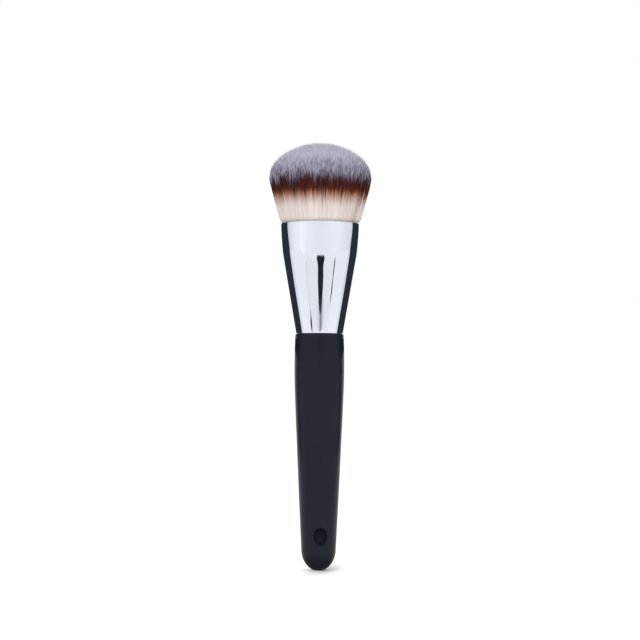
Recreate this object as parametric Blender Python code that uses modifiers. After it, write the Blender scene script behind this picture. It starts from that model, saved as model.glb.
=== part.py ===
"""Angled foundation brush, in metres with +Z up.

The brush stands on the end of its handle, which is the origin, with its bristles at the top.
The low side of its slanted bristle head faces -Y, and the left and right halves mirror at X = 0.
"""

import math
import random

import bmesh
import bpy
from mathutils import Matrix

# Clearances
FIT = 0.0003  # between two pieces that touch
SLICE_GAP = 0.0003  # between two slices of the bristle block
STRAND_GAP = 0.00024  # between two strands where they leave the block

# Handle, turned from one piece
HANDLE_LENGTH = 0.0908  # end to shoulder
HANDLE_TOP_RADIUS = 0.00934
SHOULDER_ROUNDING = 0.00035
BELLY_HEIGHT = 0.0790  # the widest part
BELLY_CORNER_RADIUS = 0.00982  # where the taper would end if the belly weren't rounded
BELLY_ROUNDING = 0.0115  # length of the taper that the rounding takes
BUTT_RADIUS = 0.00666
BUTT_ROUNDING = 0.0088  # height of the rounded end
BUTT_FLAT_RADIUS = 0.0015

# Blind oval recess in the front of the handle
RECESS_HEIGHT = 0.0131
RECESS_TURN = 6.3  # degrees round the handle, from the front towards +X
RECESS_WIDTH = 0.0053
RECESS_TALLNESS = 0.0067
RECESS_DEPTH = 0.0030
RECESS_FLOOR_ROUNDING = 0.0005

# Tenon on the top of the handle, and the two grooves that key its glue
TENON_LENGTH = 0.0150
TENON_CHAMFER = 0.0006
GROOVE_DEPTH = 0.0010
GROOVE_WIDTH = 0.0022
GROOVE_RISE = 0.0030  # shoulder to the lower groove
GROOVE_PITCH = 0.0058

# Ferrule, a thin tube that is round at the handle and oval at the mouth
FERRULE_WALL = 0.0004
FERRULE_BASE_RADIUS = 0.0090
CONE_LENGTH = 0.0308
BEND_HALF_WIDTH = 0.01426
BEND_HALF_DEPTH = 0.01070
BEND_SOFTNESS = 0.0012  # half the height over which the bend is rounded
COLLAR_LENGTH = 0.0118
MOUTH_HALF_WIDTH = 0.01503
MOUTH_HALF_DEPTH = 0.01090
COLLAR_CURVE = 1.6  # 1 is a straight collar, and more turns it upright sooner
BASE_LIP_HEIGHT = 0.0003
BASE_LIP_WIDTH = 0.00022
RIM_ROUNDING = 0.00015

# Root of the bristle bundle: the block that the strands grow from, the resin and the tie
BLOCK_SINK = 0.0005  # mouth of the ferrule to the top of the block
BLOCK_DEPTH = 0.0100
RESIN_CLEARANCE = 0.0015  # tenon to resin
TIE_RISE = 0.0060  # bottom of the resin to the middle of the tie
TIE_WIDTH = 0.0024
TIE_THICKNESS = 0.0007

# Bristle head
HEAD_HALF_WIDTH = 0.0200
HEAD_HALF_DEPTH = 0.0140
WIDEST_REACH = 0.0173  # mouth of the ferrule to the widest part of the head
EDGE_REACH = 0.0168  # mouth to the tips along the front edge
BACK_LIFT = 0.0060  # how much higher the tips along the back edge are
BACK_LIFT_CURVE = 3.0  # 1 lifts the edge evenly from front to back, and more lifts it late
CROWN = 0.0118  # how far the middle stands over its edges
CROWN_CURVE = 0.45  # 0.5 is an ellipse, and less is fuller towards the edges
SLANT = 0.0050  # how far the crown leans to the back
DYE_REACH = 0.0122  # mouth to the lower end of the dark dye
TIP_TAPER = 0.0030
TIP_SCATTER = 0.0004

# Counts
SLICES = 5
ROWS_PER_SLICE = 3
CELLS_PER_ROW = 13
ROUND_STEPS = 48
OVAL_STEPS = 56

# Heights worked out from the sizes
SHOULDER = HANDLE_LENGTH
TENON_TOP = SHOULDER + TENON_LENGTH
FERRULE_BASE = SHOULDER + FIT
BEND = FERRULE_BASE + CONE_LENGTH
MOUTH = BEND + COLLAR_LENGTH
BLOCK_TOP = MOUTH - BLOCK_SINK
BLOCK_BOTTOM = BLOCK_TOP - BLOCK_DEPTH
RESIN_TOP = BLOCK_BOTTOM - FIT
RESIN_BOTTOM = TENON_TOP + RESIN_CLEARANCE
TENON_RADIUS = FERRULE_BASE_RADIUS - FERRULE_WALL - FIT


def clear_scene():
    """Removes what is in the scene."""
    for old in list(bpy.data.objects):
        bpy.data.objects.remove(old, do_unlink=True)


def collection(name):
    """Makes a collection in the scene."""
    made = bpy.data.collections.new(name)
    bpy.context.scene.collection.children.link(made)
    return made


def material(name, colour, roughness, metallic=0.0):
    """Makes a plain material."""
    made = bpy.data.materials.new(name)
    made.use_nodes = True
    shader = made.node_tree.nodes["Principled BSDF"]
    shader.inputs["Base Color"].default_value = (*colour, 1.0)
    shader.inputs["Roughness"].default_value = roughness
    shader.inputs["Metallic"].default_value = metallic
    made.diffuse_color = (*colour, 1.0)
    return made


def add_object(name, shape, group, *finishes):
    """Turns a bmesh into an object of a collection, and empties the bmesh."""
    mesh = bpy.data.meshes.new(name)
    shape.to_mesh(mesh)
    shape.free()
    for finish in finishes:
        mesh.materials.append(finish)
    made = bpy.data.objects.new(name, mesh)
    group.objects.link(made)
    return made


def smooth(made, angle=35.0):
    """Shades an object smooth and keeps its edges sharper than an angle."""
    made.data.shade_smooth()
    made.data.set_sharp_from_angle(angle=math.radians(angle))


def turned(name, profile, group, finish):
    """Turns a profile round Z. Its points are (radius, height), from top to bottom on the outside."""
    shape = bmesh.new()
    points = [shape.verts.new((radius, 0.0, height)) for radius, height in profile]
    for upper, lower in zip(points, points[1:]):
        shape.edges.new((upper, lower))
    if profile[0][0] > 0.0:
        shape.edges.new((points[-1], points[0]))
    made = add_object(name, shape, group, finish)
    screw = made.modifiers.new("turn", "SCREW")
    screw.axis = "Z"
    screw.angle = math.tau
    screw.steps = ROUND_STEPS
    screw.render_steps = ROUND_STEPS
    screw.use_merge_vertices = True
    screw.merge_threshold = 0.00001
    screw.use_smooth_shade = True
    return made


def loft(name, stations, group, finish, capped):
    """Joins ovals into a skin. Each station is (half width, half depth, height).

    A capped skin is a solid plug, from bottom to top. Without caps the last oval joins the first,
    and the stations go up the outside and down the inside of a tube.
    """
    shape = bmesh.new()
    rings = []
    for half_width, half_depth, height in stations:
        ring = []
        for step in range(OVAL_STEPS):
            angle = math.tau * step / OVAL_STEPS
            place = (half_width * math.cos(angle), half_depth * math.sin(angle), height)
            ring.append(shape.verts.new(place))
        rings.append(ring)
    joins = list(zip(rings, rings[1:]))
    if capped:
        shape.faces.new(rings[0][::-1])
        shape.faces.new(rings[-1])
    else:
        joins.append((rings[-1], rings[0]))
    for low, high in joins:
        for step in range(OVAL_STEPS):
            after = (step + 1) % OVAL_STEPS
            shape.faces.new((low[step], low[after], high[after], high[step]))
    made = add_object(name, shape, group, finish)
    smooth(made)
    return made


def spread(start, end, count):
    """Evenly spaced values from start to end, both included."""
    return [start + (end - start) * step / (count - 1) for step in range(count)]


def bent(start, corner, end, count):
    """Points of the curve that leaves start towards corner and reaches end from corner."""
    points = []
    for along in spread(0.0, 1.0, count):
        weights = ((1 - along) ** 2, 2 * along * (1 - along), along**2)
        point = [
            sum(weight * place[axis] for weight, place in zip(weights, (start, corner, end)))
            for axis in (0, 1)
        ]
        points.append(tuple(point))
    return points


# The handle


def taper_radius(height):
    """Radius of the handle's straight taper at a height."""
    share = (height - BUTT_ROUNDING) / (BELLY_HEIGHT - BUTT_ROUNDING)
    return BUTT_RADIUS + (BELLY_CORNER_RADIUS - BUTT_RADIUS) * share


def groove_heights():
    """The bottom of each glue groove."""
    lower = SHOULDER + GROOVE_RISE
    return [lower, lower + GROOVE_PITCH]


def tenon_profile():
    """The tenon from its top to the shoulder."""
    points = [
        (0.0, TENON_TOP),
        (TENON_RADIUS - TENON_CHAMFER, TENON_TOP),
        (TENON_RADIUS, TENON_TOP - TENON_CHAMFER),
    ]
    for bottom in reversed(groove_heights()):
        points += [
            (TENON_RADIUS, bottom + GROOVE_WIDTH),
            (TENON_RADIUS - GROOVE_DEPTH, bottom + GROOVE_WIDTH),
            (TENON_RADIUS - GROOVE_DEPTH, bottom),
            (TENON_RADIUS, bottom),
        ]
    points.append((TENON_RADIUS, SHOULDER))
    return points


def grip_profile():
    """The visible handle from its shoulder to the middle of its end."""
    edge = SHOULDER - SHOULDER_ROUNDING
    points = bent(
        (HANDLE_TOP_RADIUS - SHOULDER_ROUNDING, SHOULDER),
        (HANDLE_TOP_RADIUS, SHOULDER),
        (HANDLE_TOP_RADIUS, edge),
        4,
    )
    belly_start = BELLY_HEIGHT - BELLY_ROUNDING
    points += bent(
        (HANDLE_TOP_RADIUS, edge),
        (BELLY_CORNER_RADIUS, BELLY_HEIGHT),
        (taper_radius(belly_start), belly_start),
        8,
    )[1:]
    for height in spread(belly_start, BUTT_ROUNDING, 5)[1:]:
        points.append((taper_radius(height), height))
    flat_angle = math.asin(BUTT_FLAT_RADIUS / BUTT_RADIUS)
    drop = BUTT_ROUNDING / math.cos(flat_angle)
    for angle in spread(math.pi / 2, flat_angle, 9)[1:]:
        points.append((BUTT_RADIUS * math.sin(angle), BUTT_ROUNDING - drop * math.cos(angle)))
    points.append((0.0, 0.0))
    return points


def recess_cutter(group):
    """An oval plug that goes into the front of the handle, to the depth of the recess."""
    outside = 0.003
    front = taper_radius(RECESS_HEIGHT)
    length = RECESS_DEPTH + outside
    shape = bmesh.new()
    turn = Matrix.Rotation(math.pi / 2, 4, "X")
    bmesh.ops.create_cone(
        shape,
        cap_ends=True,
        segments=32,
        radius1=1.0,
        radius2=1.0,
        depth=length,
        matrix=turn,
    )
    for vert in shape.verts:
        vert.co.x *= RECESS_WIDTH / 2
        vert.co.z *= RECESS_TALLNESS / 2
    made = add_object("recess_cutter", shape, group)
    place = Matrix.Translation((0.0, -front - outside + length / 2, RECESS_HEIGHT))
    made.matrix_world = Matrix.Rotation(math.radians(RECESS_TURN), 4, "Z") @ place
    rounding = made.modifiers.new("floor_rounding", "BEVEL")
    rounding.width = RECESS_FLOOR_ROUNDING
    rounding.segments = 2
    made.hide_render = True
    made.display_type = "WIRE"
    return made


def make_handle(group, cutters):
    """The turned handle with its tenon and its blind recess."""
    black = material("satin_black_lacquer", (0.020, 0.022, 0.030), 0.42)
    handle = turned("handle", tenon_profile() + grip_profile(), group, black)
    cut = handle.modifiers.new("recess", "BOOLEAN")
    cut.operation = "DIFFERENCE"
    cut.solver = "EXACT"
    cut.object = recess_cutter(cutters)
    return handle


# The ferrule


def sharp_ferrule_size(height):
    """The ferrule's outer half width and half depth at a height, with a sharp bend."""
    if height <= BEND:
        share = (height - FERRULE_BASE) / CONE_LENGTH
        low = (FERRULE_BASE_RADIUS, FERRULE_BASE_RADIUS)
        high = (BEND_HALF_WIDTH, BEND_HALF_DEPTH)
    else:
        share = 1.0 - max(0.0, (MOUTH - height) / COLLAR_LENGTH) ** COLLAR_CURVE
        low = (BEND_HALF_WIDTH, BEND_HALF_DEPTH)
        high = (MOUTH_HALF_WIDTH, MOUTH_HALF_DEPTH)
    return [small + (large - small) * share for small, large in zip(low, high)]


def ferrule_size(height):
    """The same with the bend rounded."""
    along = (height - BEND + BEND_SOFTNESS) / (2 * BEND_SOFTNESS)
    if not 0.0 < along < 1.0:
        return sharp_ferrule_size(height)
    weights = ((1 - along) ** 2, 2 * along * (1 - along), along**2)
    sizes = [sharp_ferrule_size(BEND + side * BEND_SOFTNESS) for side in (-1, 0, 1)]
    return [sum(w * size[axis] for w, size in zip(weights, sizes)) for axis in (0, 1)]


def ferrule_station(height, inset):
    """An oval that lies a distance inside the ferrule's outer face."""
    half_width, half_depth = ferrule_size(height)
    return half_width - inset, half_depth - inset, height


def bore_station(height):
    """An oval that fits the inside of the ferrule with a clearance."""
    return ferrule_station(height, FERRULE_WALL + FIT)


def make_ferrule(group):
    """The thin metal tube, with a turned-in lip at the handle and a rounded rim at the mouth."""
    chrome = material("mirror_chrome", (0.83, 0.85, 0.88), 0.06, 1.0)
    lip_top = FERRULE_BASE + BASE_LIP_HEIGHT
    cone = spread(lip_top, BEND - BEND_SOFTNESS, 3)
    bend = spread(BEND - BEND_SOFTNESS, BEND + BEND_SOFTNESS, 5)
    collar = spread(BEND + BEND_SOFTNESS, MOUTH - RIM_ROUNDING, 5)[1:]
    stations = [ferrule_station(FERRULE_BASE, BASE_LIP_WIDTH)]
    stations += [ferrule_station(height, 0.0) for height in cone + bend[1:] + collar]
    stations.append(ferrule_station(MOUTH, RIM_ROUNDING))
    stations.append(ferrule_station(MOUTH, FERRULE_WALL - RIM_ROUNDING))
    inner = [FERRULE_BASE] + bend + collar
    stations += [ferrule_station(height, FERRULE_WALL) for height in reversed(inner)]
    return loft("ferrule", stations, group, chrome, capped=False)


# The glue, the resin and the tie, all inside the ferrule


def make_tenon_glue(group):
    """A ring of glue in each groove of the tenon, out to the ferrule's wall."""
    amber = material("cured_glue", (0.72, 0.60, 0.38), 0.35)
    made = []
    for name, bottom in zip(("tenon_glue_lower", "tenon_glue_upper"), groove_heights()):
        low = bottom + FIT
        high = bottom + GROOVE_WIDTH - FIT
        inner = TENON_RADIUS - GROOVE_DEPTH + FIT
        outer = min(bore_station(low)[:2])
        bulge = (outer - TENON_RADIUS) + FIT
        profile = [
            (inner, high),
            (outer - bulge, high),
            (outer, high - bulge),
            (outer, low + bulge),
            (outer - bulge, low),
            (inner, low),
        ]
        made.append(turned(name, profile, group, amber))
    return made


def make_root_resin(group):
    """The plug of resin that holds the roots, with a groove for the tie."""
    amber = material("root_resin", (0.62, 0.52, 0.34), 0.30)
    middle = RESIN_BOTTOM + TIE_RISE
    low = middle - TIE_WIDTH / 2 - FIT
    high = middle + TIE_WIDTH / 2 + FIT
    groove = TIE_THICKNESS + FIT
    stations = [
        bore_station(RESIN_BOTTOM),
        bore_station(low),
        ferrule_station(low, FERRULE_WALL + FIT + groove),
        ferrule_station(high, FERRULE_WALL + FIT + groove),
        bore_station(high),
        bore_station((high + RESIN_TOP) / 2),
        bore_station(RESIN_TOP),
    ]
    return loft("root_resin", stations, group, amber, capped=True)


def make_tie(group):
    """The band of thread round the roots."""
    thread = material("tie_thread", (0.80, 0.78, 0.72), 0.80)
    middle = RESIN_BOTTOM + TIE_RISE
    corner = TIE_THICKNESS / 4
    low = middle - TIE_WIDTH / 2
    high = middle + TIE_WIDTH / 2
    outside = FERRULE_WALL + FIT
    inside = outside + TIE_THICKNESS
    stations = [
        ferrule_station(low, outside + corner),
        ferrule_station(low + corner, outside),
        ferrule_station(high - corner, outside),
        ferrule_station(high, outside + corner),
        ferrule_station(high, inside),
        ferrule_station(low, inside),
    ]
    return loft("bundle_tie", stations, group, thread, capped=False)


# The bristles


def disc_point(across, along):
    """Takes a point of a square, -1 to 1 each way, to a round disc and keeps equal areas equal."""
    if across == 0.0 and along == 0.0:
        return 0.0, 0.0
    if abs(across) >= abs(along):
        radius = across
        angle = math.pi / 4 * along / across
    else:
        radius = along
        angle = math.pi / 2 - math.pi / 4 * across / along
    return radius * math.cos(angle), radius * math.sin(angle)


def fan(height):
    """How much wider and deeper than at the block the bundle is at a height."""
    half_width, half_depth, _ = bore_station(BLOCK_TOP)
    share = (height - BLOCK_TOP) / (WIDEST_REACH + BLOCK_SINK)
    wider = 1.0 + (HEAD_HALF_WIDTH / half_width - 1.0) * share
    deeper = 1.0 + (HEAD_HALF_DEPTH / half_depth - 1.0) * share
    return wider, deeper


def face_height(x, y):
    """Height of the slanted, domed face that the tips make."""
    across = x / HEAD_HALF_WIDTH
    along = y / HEAD_HALF_DEPTH
    edge = MOUTH + EDGE_REACH + BACK_LIFT * ((1.0 + along) / 2) ** BACK_LIFT_CURVE
    inward = max(0.0, 1.0 - across**2 - along**2)
    return edge + (CROWN + SLANT * along) * inward**CROWN_CURVE


def tip_height(x, y):
    """Height where a strand that leaves the block at (x, y) meets the face."""
    low = MOUTH
    high = MOUTH + EDGE_REACH + BACK_LIFT + CROWN + SLANT
    for _ in range(40):
        height = (low + high) / 2
        wider, deeper = fan(height)
        if face_height(x * wider, y * deeper) > height:
            low = height
        else:
            high = height
    return low


def raise_ring(face, start, end):
    """Moves a strand's end face along its fan from one height to another."""
    wider, deeper = [after / before for before, after in zip(fan(start), fan(end))]
    for vert in face.verts:
        vert.co.x *= wider
        vert.co.y *= deeper
        vert.co.z = end


def grow_strand(shape, face, scatter):
    """Grows one strand on a face of the block: cream, then the dark dye, then a pale point."""
    centre = face.calc_center_median()
    tip = tip_height(centre.x, centre.y) + scatter
    shoulder = tip - TIP_TAPER
    dye = min(MOUTH + DYE_REACH, shoulder - TIP_TAPER / 4)
    start = BLOCK_TOP
    for slot, end in ((0, dye), (1, shoulder)):
        grown = bmesh.ops.extrude_discrete_faces(shape, faces=[face])
        face = grown["faces"][0]
        raise_ring(face, start, end)
        for edge in face.edges:
            for side in edge.link_faces:
                side.material_index = slot
        start = end
    pointed = bmesh.ops.poke(shape, faces=[face])
    wider, deeper = fan(tip)
    pointed["verts"][0].co = (centre.x * wider, centre.y * deeper, tip)
    for side in pointed["faces"]:
        side.material_index = 2


def slice_of_block(number):
    """One slice of the block, whose flat top is split into cells, two to a square of the grid.

    The lines between the rows are shifted to alternate sides, so that the strands stand staggered.
    """
    shape = bmesh.new()
    bmesh.ops.create_grid(shape, x_segments=CELLS_PER_ROW, y_segments=ROWS_PER_SLICE, size=1.0)
    half_width, half_depth, _ = bore_station(BLOCK_TOP)
    half_gap = SLICE_GAP / 2 / half_depth
    row_depth = 2.0 / (SLICES * ROWS_PER_SLICE)
    for vert in shape.verts:
        line = round((vert.co.y + 1.0) / 2 * ROWS_PER_SLICE)
        whole_line = number * ROWS_PER_SLICE + line
        along = whole_line * row_depth - 1.0
        if line == 0 and number > 0:
            along += half_gap
        if line == ROWS_PER_SLICE and number < SLICES - 1:
            along -= half_gap
        across = vert.co.x
        if abs(across) < 1.0 - 1.0 / CELLS_PER_ROW:
            across += (0.5 if whole_line % 2 else -0.5) / CELLS_PER_ROW
        x, y = disc_point(across, along)
        vert.co = (half_width * x, half_depth * y, BLOCK_TOP)
    bmesh.ops.triangulate(shape, faces=shape.faces[:], quad_method="SHORT_EDGE")
    cells = shape.faces[:]
    rim = [edge for edge in shape.edges if edge.is_boundary]
    walls = bmesh.ops.extrude_edge_only(shape, edges=rim)["geom"]
    lower_width, lower_depth, _ = bore_station(BLOCK_BOTTOM)
    for item in walls:
        if isinstance(item, bmesh.types.BMVert):
            item.co.x *= lower_width / half_width
            item.co.y *= lower_depth / half_depth
            item.co.z = BLOCK_BOTTOM
    lower_rim = [edge for edge in shape.edges if edge.is_boundary]
    bmesh.ops.contextual_create(shape, geom=lower_rim)
    bmesh.ops.recalc_face_normals(shape, faces=shape.faces[:])
    bmesh.ops.inset_individual(
        shape, faces=cells, thickness=STRAND_GAP / 2, use_even_offset=True
    )
    return shape, cells


def make_bristles(group):
    """The bristle bundle, in slices from front to back that each carry their own strands."""
    finishes = (
        material("bristle_cream", (0.80, 0.66, 0.58), 0.55),
        material("bristle_dark_dye", (0.060, 0.022, 0.020), 0.55),
        material("bristle_pale_tip", (0.44, 0.42, 0.52), 0.60),
    )
    chance = random.Random(11)
    made = []
    for number in range(SLICES):
        shape, cells = slice_of_block(number)
        for face in cells:
            grow_strand(shape, face, chance.uniform(-TIP_SCATTER, TIP_SCATTER))
        made.append(add_object(f"bristles_{number + 1}", shape, group, *finishes))
        smooth(made[-1], 50.0)
    return made


def main():
    clear_scene()
    group = collection("angled_foundation_brush")
    cutters = collection("cutters")
    pieces = [make_handle(group, cutters), *make_tenon_glue(group), make_ferrule(group)]
    pieces += [make_root_resin(group), make_tie(group), *make_bristles(group)]
    root = bpy.data.objects.new("brush", None)
    group.objects.link(root)
    for piece in pieces:
        piece.parent = root


main()
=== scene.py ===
import math

import bpy
import numpy as np
from mathutils import Matrix, Vector, kdtree


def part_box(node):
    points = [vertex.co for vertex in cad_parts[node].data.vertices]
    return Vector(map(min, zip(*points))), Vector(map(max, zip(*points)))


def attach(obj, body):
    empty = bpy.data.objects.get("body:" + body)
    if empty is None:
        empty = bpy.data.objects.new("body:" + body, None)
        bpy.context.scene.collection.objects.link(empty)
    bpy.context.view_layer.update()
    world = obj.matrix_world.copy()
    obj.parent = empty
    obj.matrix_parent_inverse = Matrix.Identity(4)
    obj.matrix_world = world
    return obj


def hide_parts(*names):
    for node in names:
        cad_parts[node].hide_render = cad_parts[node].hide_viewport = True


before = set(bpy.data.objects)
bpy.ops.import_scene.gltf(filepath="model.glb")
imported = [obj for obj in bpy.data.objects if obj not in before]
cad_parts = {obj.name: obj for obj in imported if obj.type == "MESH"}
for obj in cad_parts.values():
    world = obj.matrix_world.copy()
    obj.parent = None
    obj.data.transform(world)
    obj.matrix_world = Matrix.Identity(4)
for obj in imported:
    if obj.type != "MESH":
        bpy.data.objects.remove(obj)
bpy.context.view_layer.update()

# The brush stands on the end of its handle at the origin. All sizes are in metres, and the
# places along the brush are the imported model's own.
MM = 0.001
QUARTER = math.pi / 2
ferrule_low, ferrule_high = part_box("ferrule")
FERRULE_BASE = ferrule_low.z
MOUTH = ferrule_high.z
SHOULDER = FERRULE_BASE - 0.5 * MM
HANDLE_TOP_RADIUS = 9.34 * MM

# Ferrule, with its sizes as (half width, half depth)
BEND = MOUTH - 11.8 * MM
BASE_SIZE = (9.0 * MM, 9.0 * MM)
BEND_SIZE = (14.26 * MM, 10.70 * MM)
MOUTH_SIZE = (ferrule_high.x, ferrule_high.y)
BEND_SOFTNESS = 0.9 * MM
BASE_GAP = 0.05 * MM
COLLAR_CURVE = 1.6
WALL = 0.4 * MM
LIP = 0.35 * MM
MOUTH_DIP = 0.3 * MM
FERRULE_STEPS = 192
LIP_SUPPORT = 0.08 * MM  # from the lip to the first row of the cone
RIM_SUPPORT = 0.06 * MM

# Handle
BELLY_HEIGHT = 79.0 * MM
BELLY_CORNER_RADIUS = 9.82 * MM
BELLY_ROUNDING = 11.5 * MM
TAPER_FULLNESS = 0.12 * MM
BUTT_RADIUS = 6.66 * MM
BUTT_ROUNDING = 8.0 * MM
BUTT_FLAT_RADIUS = 1.5 * MM
SHOULDER_ROUNDING = 0.35 * MM
HANDLE_STEPS = 144

# The blind oval recess near the handle's end, and the window of cells round it
RECESS_HEIGHT = 13.1 * MM
RECESS_TURN = 6.3
RECESS_HALF_WIDTH = 2.65 * MM
RECESS_HALF_TALLNESS = 3.35 * MM
RECESS_DEPTH = 3.0 * MM
RECESS_LIP = 0.22 * MM
RECESS_CORNER = 0.5 * MM
WINDOW_CELLS = 20
WINDOW_HALF_TALLNESS = 4.4 * MM

# Bristle head
HAIRS = 16000
HAIR_THICKNESS = 0.21 * MM
TIP_THICKNESS = 0.07 * MM
TAPER_LENGTH = 9.0 * MM
CLUMPS = 2600
STYLES = 128
SLICES = 5
HEAD_HALF_WIDTH = 20.0 * MM
HEAD_HALF_DEPTH = 14.0 * MM
EDGE_REACH = 16.8 * MM
BACK_LIFT = 6.0 * MM
BACK_LIFT_CURVE = 3.0
CROWN = 11.8 * MM
CROWN_CURVE = 0.42
SLANT = 5.0 * MM
HIGHEST_TIP = 45.0 * MM  # more than any filament's length over the mouth

# The bundle's half width, then its half depth, over the mouth, in millimetres: how much fuller
# than the mouth, how much it grows with each millimetre of height, how much the rim squeezes it,
# and how much smaller it is inside the mouth
BUNDLE_FANS = ((0.12, 0.282, 0.55, 0.53), (0.0, 0.185, 0.50, 0.50))
SQUEEZE_LENGTH = 0.45
UPRIGHT_START = 14.0
UPRIGHT_LENGTH = 4.0
RIGHT_FULLNESS_HEIGHTS = [0.0, 1.0, 14.0, 18.0]
RIGHT_FULLNESS = [0.0, 0.3, 0.3, 0.0]

# How the filaments differ. A spread is (a clump's part, a filament's own part).
TIP_LIFT = 0.38 * MM
TIP_DRAW = 0.02
TIP_SPREAD = (0.10 * MM, 0.14 * MM)
TIP_WEAR = 0.40 * MM
PLACE_SCATTER = 0.35
CLUMP_PULL = 0.30
STRAY = 0.10 * MM
STRAY_SHARE = 0.02
STRAY_FACTOR = 3.0
THICKNESS_SPREAD = 0.10
OWN_STYLE_SHARE = 0.5
COLUMN_MARGIN = 0.08

# The fringe between the cream root and the dark band, and the top of the band
FRINGE = MOUTH + 10.3 * MM
FRINGE_SPREAD = (0.20 * MM, 0.35 * MM)
FRINGE_WEAR = 0.6 * MM
FRINGE_BELOW = 4.0 * MM
FRINGE_ABOVE = 2.4 * MM
LOW_FRINGE_SHARE = 0.03
LOW_FRINGE_REACH = 3.4 * MM
BAND_TOP = MOUTH + 15.6 * MM
BAND_TOP_SPREAD = (0.42 * MM, 0.80 * MM)
LOW_TOP_SHARE = 0.05
LOW_TOP_SIDE_SHARE = 0.13
LOW_TOP_REACH = 4.2 * MM
PALE_LENGTH = 3.4 * MM
PALE_SPREAD = (0.22, 0.38)
SHADE_SPREAD = (0.022, 0.056)

# Dye along a filament, from 0 at the cream root to 1 at the pale tip. Just above the rim the root
# is darker, a painted shade where the rim meets the filaments. Above the dark band it follows the
# height over the band's top, in millimetres, and the distance under the tip, in pale lengths,
# whichever is darker. The streaks make each filament's own shade stronger. Near the tips a painted
# highlight and painted shade make each tip lighter and the filament under it darker.
RIM_SHADE_HEIGHTS = (-3.5, 0.0, 0.5, 1.5)
RIM_SHADE_DYES = (0.0, 0.01, 0.05, 0.10)
CREAM_END = 0.12
DARK_START = 0.42
BAND_TOP_HEIGHTS = [-1.3, 0.5, 1.8, 3.2, 4.8, 7.6, 10.2, 14.0]
BAND_TOP_DYES = [0.44, 0.56, 0.735, 0.795, 0.812, 0.852, 0.935, 1.0]
STREAK_HEIGHTS = [-1.0, 1.5, 4.5, 8.5, 10.5]
STREAK_STRENGTHS = [0.3, 1.6, 2.1, 2.0, 0.4]
# Painted highlight and shade near the tips: lighter at each tip, darker from half a pale length under it
# down, fading out high over the band
TIP_LIGHT_SHARES = [0.0, 0.5]
TIP_LIGHT_SHADE_DYES = [0.05, -0.045]
TIP_LIGHT_END_HEIGHTS = [8.5, 11.0]
UNDER_TIP_SHARES = [0.0, 0.6, 1.3, 2.2, 3.4]
UNDER_TIP_DYES = [1.0, 0.89, 0.75, 0.62, 0.50]

# Shading normals: the bundle's side looks down a little, and the dome takes over near the tips
SIDE_DROOP = -0.2
DOME_INSET = 0.97
DOME_LENGTH = 5.0 * MM
OWN_SHARE = 0.09
OWN_TOP_SHARE = 0.28

# Studio
AMBIENT = 0.64
MIRROR_WHITE = 0.92
LAMP_TARGET = Vector((0.0, 0.0, 0.12))
FLOOR_SIZE = 6.0
FLOOR_COLOUR = (0.85, 0.85, 0.86, 1.0)
FLOOR_GLOW = 0.43
FLOOR_FAR_GLOW = 0.60
FLOOR_NEAR = 0.05
FLOOR_FAR = 1.2
FLOOR_MIRROR = 1.12
FLOOR_FAR_MIRROR = 0.99
# A painted shadow: the floor's glow is lowered in a patch round the handle's end
FLOOR_SHADOW_PATCH = 0.42
FLOOR_SHADOW_PATCH_END = 9.5 * MM
FLOOR_SHADOW_PATCH_SHIFT = 1.5 * MM
FLOOR_SHADOW_PATCH_TURN = -6.9
FLOOR_SHADOW_PATCH_STRETCH = 5.0
# Painted shade that mirrors see in the floor: dark under the handle's end, dim straight to the sides
FLOOR_MIRROR_SHADE_REACH = 0.03
FLOOR_MIRROR_SHADE_LEAST = 0.15
FLOOR_MIRROR_SHADE_SIDE = 0.985
FLOOR_MIRROR_SHADE_SIDE_LEVEL = 0.82

# Flags and cards
FLAG_COLOUR = (0.026, 0.030, 0.042)
FLAG_THINNEST = 6.0
FLAG_INSET = 0.3 * MM
FLAG_STEPS = 22
FLAG_REACH = 66.0 * MM
FLAG_BEND_REACH = 300.0 * MM
FLAG_WIDEST = BEND - 2.0 * MM
FLAG_WIDE_LENGTH = 8.0 * MM
FLAG_TOP = MOUTH + 14.0 * MM
FLAG_TOP_REACH = 72.0 * MM
FLAG_END = FERRULE_BASE - 22.0 * MM
FLAG_END_INNER = 62.0 * MM
HANDLE_FLAG_REACH = 24.0 * MM
HANDLE_FLAG_GAP = 3.6 * MM
HANDLE_FLAG_GAPS = (  # height, and the gap between handle and flag there
    (SHOULDER - 1.5 * MM, 0.0),
    (SHOULDER - 6.0 * MM, 0.0),
    (SHOULDER - 9.0 * MM, HANDLE_FLAG_GAP),
    (BELLY_HEIGHT, HANDLE_FLAG_GAP),
    (48.0 * MM, HANDLE_FLAG_GAP),
    (30.0 * MM, 14.5 * MM),
)
CARD_DISTANCE = 0.80
LINE_DISTANCE = 0.79
PANEL_DISTANCE = 0.82
STRIP_DISTANCE = 0.55
STUDIO_RADIUS = 0.83
STUDIO_LOW = 101.0 * MM
STUDIO_HIGH = 500.0 * MM

# Camera, from the photograph: 0.386 mm a pixel, 0.8 m away and a little below the brush's middle
FRAME_WIDTH = 247.04 * MM
CAMERA_DISTANCE = 0.80
CAMERA_TILT = 2.5
CAMERA_ROLL = 0.27
AIM = Vector((0.16 * MM, 0.0, 96.17 * MM))


# Materials


def new_material(name):
    """A material with its node tree and its Principled shader."""
    made = bpy.data.materials.new(name)
    made.use_nodes = True
    tree = made.node_tree
    return made, tree, tree.nodes["Principled BSDF"]


def unlit_material(name):
    """A material with its node tree and the socket for its surface, and no shader yet."""
    made, tree, shader = new_material(name)
    tree.nodes.remove(shader)
    return made, tree, tree.nodes["Material Output"].inputs["Surface"]


def give(tree, socket, value):
    """Links another node's output to an input, or sets the input's own value."""
    if isinstance(value, bpy.types.NodeSocket):
        tree.links.new(value, socket)
    else:
        socket.default_value = value


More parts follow.
